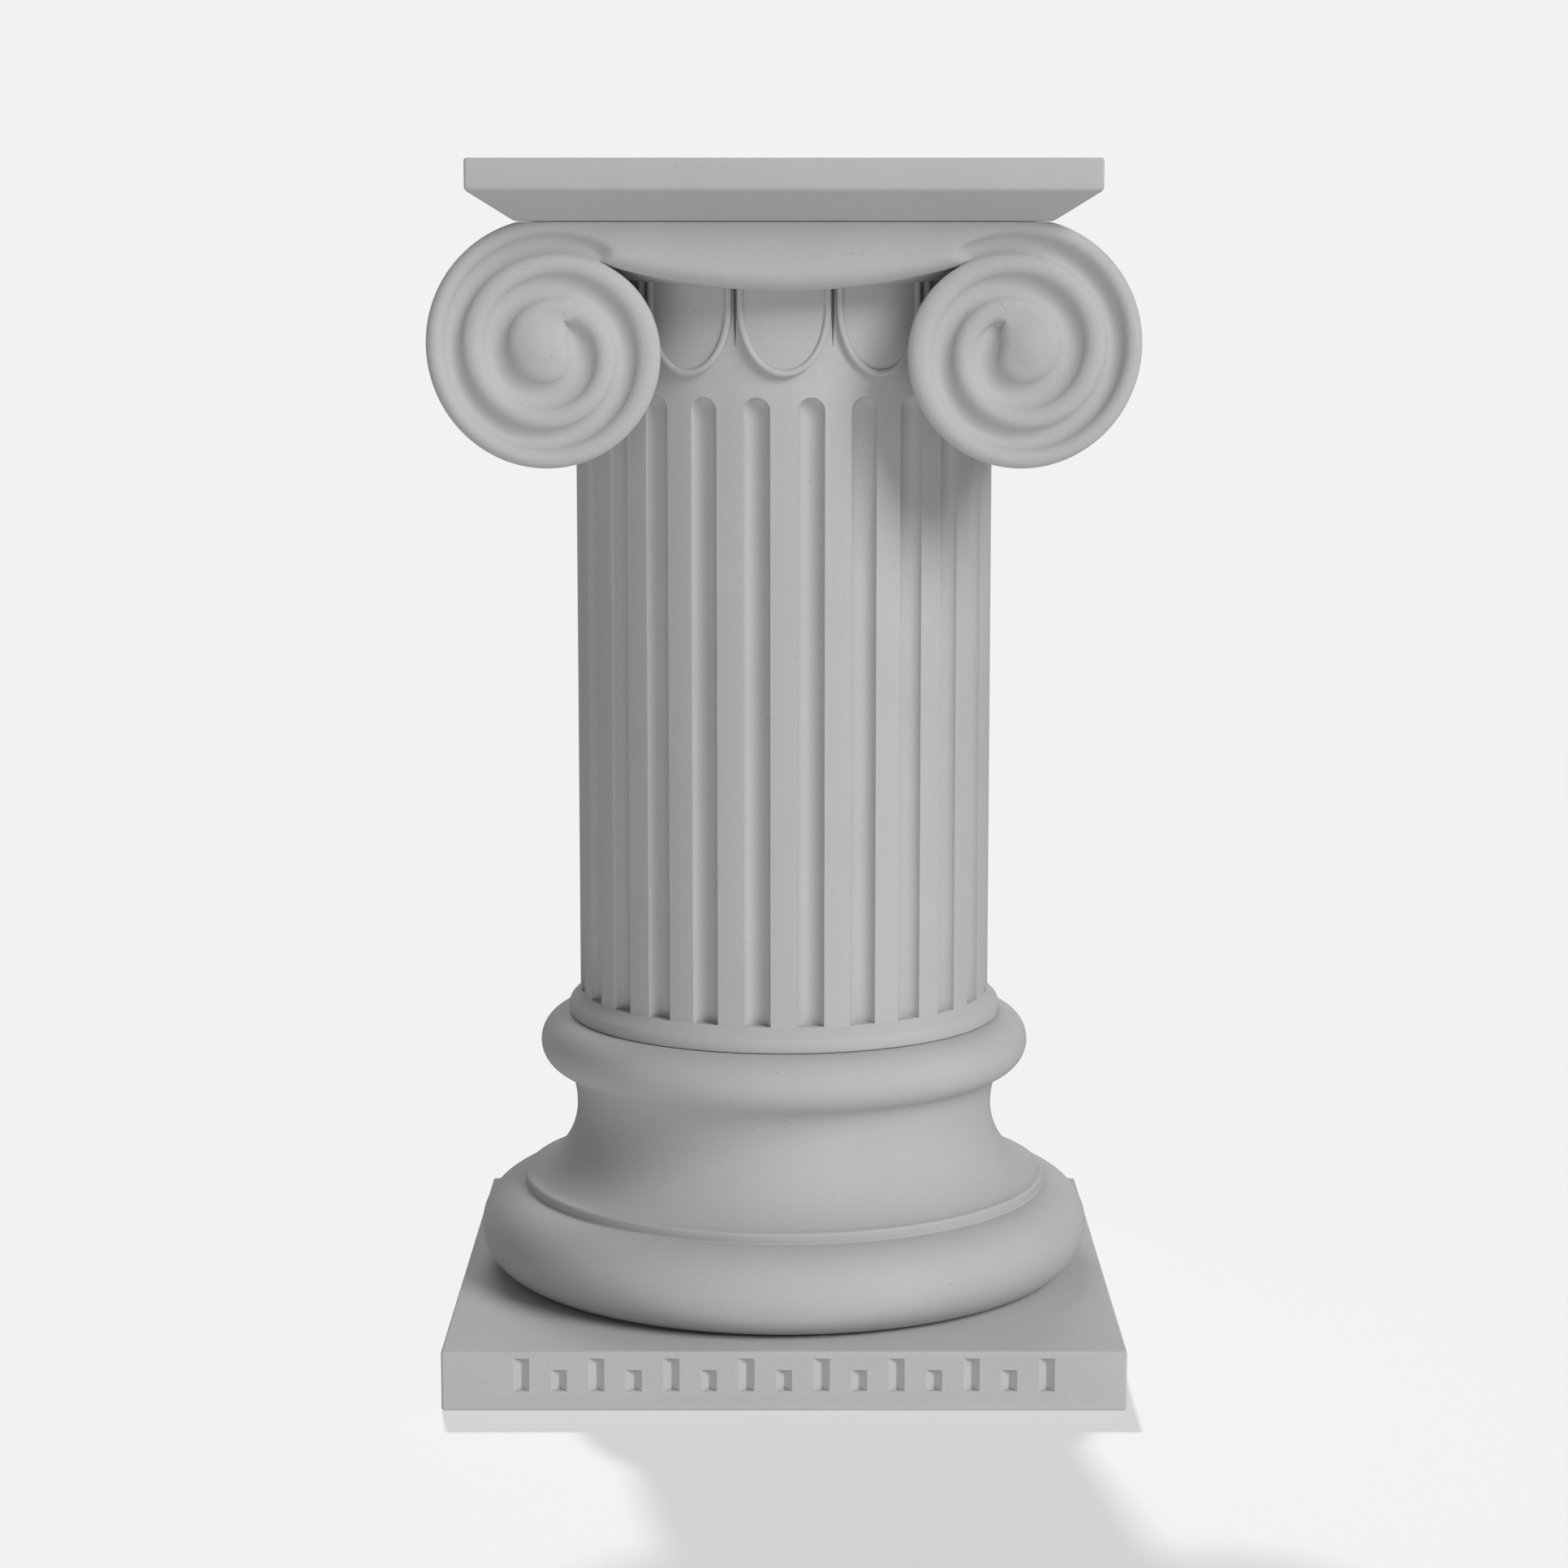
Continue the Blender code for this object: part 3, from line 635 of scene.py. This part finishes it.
def ridge_column(angle):
    """Ridge from its outer edge in to the crease: X, Z and height."""
    inner = quarter_radius(RIDGE_INNER, angle)
    outer = outer_edge(angle)
    brow = ridge_radius(angle)
    turned = max(angle, 0.0)
    half = (quarter_radius(RIDGE_OUTER, turned) - quarter_radius(RIDGE_INNER, turned)) / 2
    column = []
    for share in spaced(RIDGE_STRIPS):
        radius = outer + (inner - outer) * share
        height = RELIEF * rise(min(radius - inner, brow - radius) / half)
        if 2 * radius < inner + outer:
            height = RELIEF + run_out(angle) * (height - RELIEF)
        height = RELIEF + melt(angle) * (height - RELIEF)
        column.append(scroll_place(radius, angle) + (height,))
    return column


def channel_column(angle):
    """Channel from the crease in to the next turn's ridge, both ends left out."""
    outer = quarter_radius(RIDGE_INNER, angle)
    inner = quarter_radius(RIDGE_OUTER, angle + 2 * math.pi)
    column = []
    for share in spaced(CHANNEL_STRIPS)[1:-1]:
        radius = outer + (inner - outer) * share
        height = -RELIEF * rise(2 * min(share, 1 - share))
        height = RELIEF + run_out(angle) * (height - RELIEF)
        lip = lip_height(share)
        height = lip + melt(angle) * (height - lip)
        column.append(scroll_place(radius, angle) + (height,))
    return column


def band_columns():
    """Band from the junction to the middle of the face: each column's share of the way that
    is left, and its points from top to lip."""
    start = step_angle(-JUNCTION_STEPS)
    top_x, top_z = scroll_place(outer_edge(start), start)
    low_x, low_z = scroll_place(quarter_radius(RIDGE_OUTER, start + 2 * math.pi), start)
    crease_z = scroll_place(quarter_radius(RIDGE_INNER, start), start)[1]
    crease = (top_z - crease_z) / (top_z - low_z)
    section = [(part * crease, 0.0) for part in spaced(RIDGE_STRIPS)]
    section += [(crease + (1 - crease) * part, part) for part in spaced(CHANNEL_STRIPS)[1:]]
    first = JUNCTION_BLEND / low_x
    columns = []
    for i in range(BAND_STEPS + 1):
        left = 1 - (first + (1 - first) * i / BAND_STEPS)
        foot_x = low_x * left
        foot_z = BAND_FOOT + (low_z - BAND_FOOT) * left * left
        points = [(top_x * left + (foot_x - top_x * left) * down,
                   top_z + (foot_z - top_z) * down, lip_height(lip)) for down, lip in section]
        columns.append((left, points))
    return columns


def eye_dome(distance):
    """Height of the eye's dome, which rises from the level of the ridge that runs into it."""
    share = min(1.0, distance / EYE_REACH)
    return RELIEF + (EYE_RISE - RELIEF) * (1 - share * share) ** 2


def eye_height(reach, share, rim_height):
    """Height of the eye at a share of the way from its middle to a place on its rim."""
    flank = 1 - rise((1 - share) * reach / EYE_FLANK)
    return eye_dome(share * reach) - flank * (eye_dome(reach) - rim_height)


def add_eye(bm, place, rim):
    """Domed eye inside a closed rim of points."""
    middle_x = VOLUTE_SPACING / 2 + EYE_SHIFT
    middle_z = ABACUS_BED - VOLUTE_DROP
    outer = [vertex for vertex, x, z, height in rim]
    outer.append(outer[0])
    for i in range(1, EYE_RINGS + 1):
        share = math.cos(QUARTER * i / EYE_RINGS)
        if i == EYE_RINGS:
            inner = [place(middle_x, middle_z, EYE_RISE)] * len(outer)
        else:
            inner = []
            for vertex, x, z, height in rim:
                across, up = x - middle_x, z - middle_z
                inner.append(place(middle_x + share * across, middle_z + share * up,
                                   eye_height(math.hypot(across, up), share, height)))
            inner.append(inner[0])
        add_strip(bm, outer, inner)
        outer = inner


def scroll_face(bm, side, facing):
    """Half of a carved face, from the middle of the band to the eye. Returns its border as
    vertex, X, Z and how far the waist of the bolster pulls it in."""
    plane = CAPITAL_DEPTH / 2 - RELIEF

    def place(x, z, height):
        return bm.verts.new((side * x, facing * (plane + height), z))

    steps = range(-JUNCTION_STEPS, EYE_STEPS + 1)
    ridge_points = {k: ridge_column(step_angle(k)) for k in steps}
    ridge = {k: [place(*point) for point in ridge_points[k]] for k in steps}
    edge = {k: ridge[k][0] for k in steps}
    edge_points = {k: ridge_points[k][0] for k in steps}
    tip = EYE_STEPS + TURN_STEPS
    for k in range(EYE_STEPS + 1, tip):
        angle = step_angle(k)
        height = RELIEF * (1 - run_out(angle - 2 * math.pi))
        edge_points[k] = scroll_place(quarter_radius(RIDGE_OUTER, angle), angle) + (height,)
        edge[k] = place(*edge_points[k])
    edge[tip] = ridge[EYE_STEPS][-1]
    edge_points[tip] = ridge_points[EYE_STEPS][-1]

    whole = {}
    for k in steps:
        if k == EYE_STEPS:
            hollow = [edge[tip]] * (CHANNEL_STRIPS - 1)
        else:
            hollow = [place(*point) for point in channel_column(step_angle(k))]
        whole[k] = ridge[k] + hollow + [edge[k + TURN_STEPS]]
    for k in range(-JUNCTION_STEPS, EYE_STEPS):
        add_strip(bm, whole[k], whole[k + 1])

    rim = [(edge[k],) + edge_points[k] for k in range(EYE_STEPS, tip + 1)]
    tip_ridge = zip(ridge[EYE_STEPS][1:-1], ridge_points[EYE_STEPS][1:-1])
    rim += [(vertex,) + point for vertex, point in reversed(list(tip_ridge))]
    add_eye(bm, place, rim)

    columns = band_columns()
    band = [[place(*point) for point in points] for left, points in columns]
    previous = whole[-JUNCTION_STEPS]
    for column in band:
        add_strip(bm, previous, column)
        previous = column

    border = []
    for column, (left, points) in reversed(list(zip(band, columns))):
        border.append((column[0],) + points[0][:2] + (0.0,))
    for k in range(-JUNCTION_STEPS, TURN_STEPS - JUNCTION_STEPS + 1):
        pull = ease(min(1.0, (k + JUNCTION_STEPS) / PULL_STEPS))
        border.append((edge[k],) + edge_points[k][:2] + (pull,))
    for column, (left, points) in zip(band, columns):
        border.append((column[-1],) + points[-1][:2] + (left,))
    return border


def bolster_sections():
    """Places along Y, front to back, each with the share of the volute's outline there."""
    rim = CAPITAL_DEPTH / 2 - RELIEF - BOLSTER_RIM
    strap = STRAP_WIDTH / 2
    half = []
    for i in range(BOLSTER_STEPS + 1):
        share = 1 - i / BOLSTER_STEPS
        half.append((strap + (rim - strap) * share,
                     BOLSTER_WAIST + (1 - BOLSTER_WAIST) * share * share))
    crown = BOLSTER_WAIST + STRAP_RISE
    for i in range(1, STRAP_EDGE_STEPS + 1):
        turn = QUARTER * i / STRAP_EDGE_STEPS
        half.append((strap - STRAP_STEP * (1 - math.cos(turn)),
                     crown - STRAP_RISE * (1 - math.sin(turn))))
    return [(-y, share) for y, share in half] + [(y, share) for y, share in reversed(half)]


def add_bolster(bm, side, front, back):
    """Walls from the front face's border to the back one's, drawn in at the waist."""
    eye_x, eye_z = scroll_place(0.0, 0.0)
    rows = [[vertex for vertex, x, z, pull in front]]
    for y, share in bolster_sections():
        row = []
        for vertex, x, z, pull in front:
            scale = 1 - pull * (1 - share)
            row.append(bm.verts.new((side * (eye_x + (x - eye_x) * scale), y,
                                     eye_z + (z - eye_z) * scale)))
        rows.append(row)
    rows.append([vertex for vertex, x, z, pull in back])
    for first, second in zip(rows, rows[1:]):
        add_strip(bm, first, second)


def build_capital():
    bm = bmesh.new()
    for side in (-1, 1):
        front = scroll_face(bm, side, -1)
        back = scroll_face(bm, side, 1)
        add_bolster(bm, side, front, back)
    add_neck(bm)
    item = add_object("stone_capital", bm)
    cut(item, capital_room(), with_self=True)
    return item


# Abacus

def build_abacus():
    bm = bmesh.new()
    slope_top = ABACUS_BED + ABACUS_SLOPE_HEIGHT
    stack_rings(bm, [square(CAPITAL_DEPTH, ABACUS_BED + JOINT),
                     square(ABACUS_TOP_WIDTH, slope_top),
                     square(ABACUS_TOP_WIDTH, ABACUS_TOP)])
    item = add_object("stone_abacus", bm)
    round_edges(item, BLOCK_ARRIS)
    return item


# Shader nodes

def node(tree, kind, **values):
    item = tree.nodes.new(kind)
    for key, value in values.items():
        if key in item.inputs:
            item.inputs[key].default_value = value
        else:
            setattr(item, key, value)
    return item


def span(tree, source, values=(0.0, 1.0), results=(0.0, 1.0)):
    """Turn a range of a source's values into a range of results, held at both ends."""
    item = node(tree, "ShaderNodeMapRange")
    for name, value in zip(("From Min", "From Max", "To Min", "To Max"), values + results):
        item.inputs[name].default_value = value
    tree.links.new(source, item.inputs["Value"])
    return item.outputs["Result"]


def combine(tree, operation, first, second):
    item = node(tree, "ShaderNodeMath", operation=operation)
    tree.links.new(first, item.inputs[0])
    tree.links.new(second, item.inputs[1])
    return item.outputs["Value"]


def mix_shaders(tree, share, first, second):
    item = node(tree, "ShaderNodeMixShader")
    for source, socket in zip((share, first, second), item.inputs):
        tree.links.new(source, socket)
    return item.outputs["Shader"]


# Cast stone

def stone_material():
    """Pale grey cast stone: faint mottling, fine grain, sparse pinholes, lighter arrises."""
    material = bpy.data.materials.new("cast_stone")
    material.use_nodes = True
    tree = material.node_tree
    link = tree.links.new
    shader = tree.nodes["Principled BSDF"]
    place = node(tree, "ShaderNodeTexCoord").outputs["Object"]

    cloud = node(tree, "ShaderNodeTexNoise", Scale=CLOUD_SCALE, Detail=4.0, Roughness=0.6)
    grain = node(tree, "ShaderNodeTexNoise", Scale=GRAIN_SCALE, Detail=3.0, Roughness=0.7)
    pores = node(tree, "ShaderNodeTexVoronoi", Scale=PORE_SCALE, Randomness=1.0)
    pore_size = node(tree, "ShaderNodeTexNoise", Scale=PORE_SIZE_SCALE, Detail=1.0)
    for texture in (cloud, grain, pores, pore_size):
        link(place, texture.inputs["Vector"])

    base = node(tree, "ShaderNodeValToRGB")
    for element, position, colour in zip(base.color_ramp.elements, NOISE_SPAN,
                                         (STONE_DARK, STONE_LIGHT)):
        element.position = position
        element.color = colour
    link(cloud.outputs["Fac"], base.inputs["Fac"])

    limit = span(tree, pore_size.outputs["Fac"], PORE_NOISE, PORE_SIZES)
    inside = combine(tree, "SUBTRACT", pores.outputs["Distance"], limit)
    solid = span(tree, inside, PORE_EDGE)

    speck = span(tree, grain.outputs["Fac"], NOISE_SPAN, GRAIN_TONES)
    tone = combine(tree, "MULTIPLY", speck, span(tree, solid, results=PORE_TONES))
    pointiness = node(tree, "ShaderNodeNewGeometry").outputs["Pointiness"]
    tone = combine(tree, "MULTIPLY", tone, span(tree, pointiness, WORN_SPAN, WORN_TONES))
    toned = node(tree, "ShaderNodeVectorMath", operation="SCALE")
    link(base.outputs["Color"], toned.inputs[0])
    link(tone, toned.inputs["Scale"])
    link(toned.outputs["Vector"], shader.inputs["Base Color"])

    link(span(tree, cloud.outputs["Fac"], results=ROUGHNESS), shader.inputs["Roughness"])
    shader.inputs["Specular IOR Level"].default_value = SPECULAR

    grain_bump = node(tree, "ShaderNodeBump", **GRAIN_BUMP)
    pore_bump = node(tree, "ShaderNodeBump", **PORE_BUMP)
    link(grain.outputs["Fac"], grain_bump.inputs["Height"])
    link(solid, pore_bump.inputs["Height"])
    link(grain_bump.outputs["Normal"], pore_bump.inputs["Normal"])
    link(pore_bump.outputs["Normal"], shader.inputs["Normal"])
    return material


# Studio

def studio_world():
    """Backdrop colour to the camera, and to the stone a dim sky that is brighter below."""
    world = bpy.data.worlds.new("studio")
    bpy.context.scene.world = world
    world.use_nodes = True
    tree = world.node_tree
    link = tree.links.new
    seen = tree.nodes["Background"]
    seen.inputs["Color"].default_value = BACKDROP
    sky = node(tree, "ShaderNodeBackground")
    parts = node(tree, "ShaderNodeSeparateXYZ")
    link(node(tree, "ShaderNodeTexCoord").outputs["Generated"], parts.inputs["Vector"])
    link(span(tree, parts.outputs["Z"], SKY_SPAN, SKY_STRENGTHS), sky.inputs["Strength"])
    shown = mix_shaders(tree, node(tree, "ShaderNodeLightPath").outputs["Is Camera Ray"],
                        sky.outputs["Background"], seen.outputs["Background"])
    link(shown, tree.nodes["World Output"].inputs["Surface"])


def floor():
    """Pale floor that fades into the backdrop and throws no light on the stone."""
    bm = bmesh.new()
    bmesh.ops.create_circle(bm, cap_ends=True, segments=FLOOR_SIDES, radius=FLOOR_FADE[1])
    item = add_object("studio_floor", bm)
    item.location.z = -FLOOR_DROP
    material = bpy.data.materials.new("studio_floor")
    material.use_nodes = True
    tree = material.node_tree
    link = tree.links.new
    tree.nodes.remove(tree.nodes["Principled BSDF"])
    matt = node(tree, "ShaderNodeBsdfDiffuse", Color=FLOOR_COLOUR)
    clear = node(tree, "ShaderNodeBsdfTransparent")
    length = node(tree, "ShaderNodeVectorMath", operation="LENGTH")
    link(node(tree, "ShaderNodeTexCoord").outputs["Object"], length.inputs[0])
    shown = mix_shaders(tree, span(tree, length.outputs["Value"], FLOOR_FADE),
                        matt.outputs["BSDF"], clear.outputs["BSDF"])
    link(shown, tree.nodes["Material Output"].inputs["Surface"])
    item.data.materials.append(material)
    item.visible_diffuse = False
    item.visible_glossy = False
    item.visible_shadow = False
    return item


def add_lamps(lamps, group, lit):
    """Far lamps that light only the objects of a group."""
    receivers = bpy.data.collections.new(group)
    for item in lit:
        receivers.objects.link(item)
    for name, (azimuth, elevation, strength, spread, colour) in lamps.items():
        lamp = bpy.data.lights.new(name, "SUN")
        lamp.energy = strength
        lamp.angle = math.radians(spread)
        lamp.color = colour
        item = bpy.data.objects.new(name, lamp)
        item.rotation_euler = (math.radians(90 - elevation), 0, math.radians(azimuth))
        item.light_linking.receiver_collection = receivers
        bpy.context.scene.collection.objects.link(item)


def camera():
    """The photograph's camera, in front of the column and a little below its top."""
    lens = bpy.data.cameras.new("camera")
    lens.lens = LENS
    lens.sensor_width = SENSOR
    item = bpy.data.objects.new("camera", lens)
    item.location = CAMERA_PLACE
    item.rotation_euler = (CAMERA_TILT, 0, 0)
    bpy.context.scene.collection.objects.link(item)
    bpy.context.scene.camera = item


stones = [build_plinth(), build_base(), build_shaft(), build_capital(), build_abacus()]
stone = stone_material()
for item in stones:
    smooth(item)
    item.data.materials.clear()
    item.data.materials.append(stone)
    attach(item, "root")
    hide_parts(item.name.removeprefix("stone_"))

studio_world()
ground = floor()
add_lamps(STONE_LAMPS, "only_stone", stones)
add_lamps(FLOOR_LAMPS, "only_floor", [ground])
bpy.data.lights["floor_wash"].use_shadow = False
camera()
bpy.context.scene.view_settings.view_transform = "Standard"
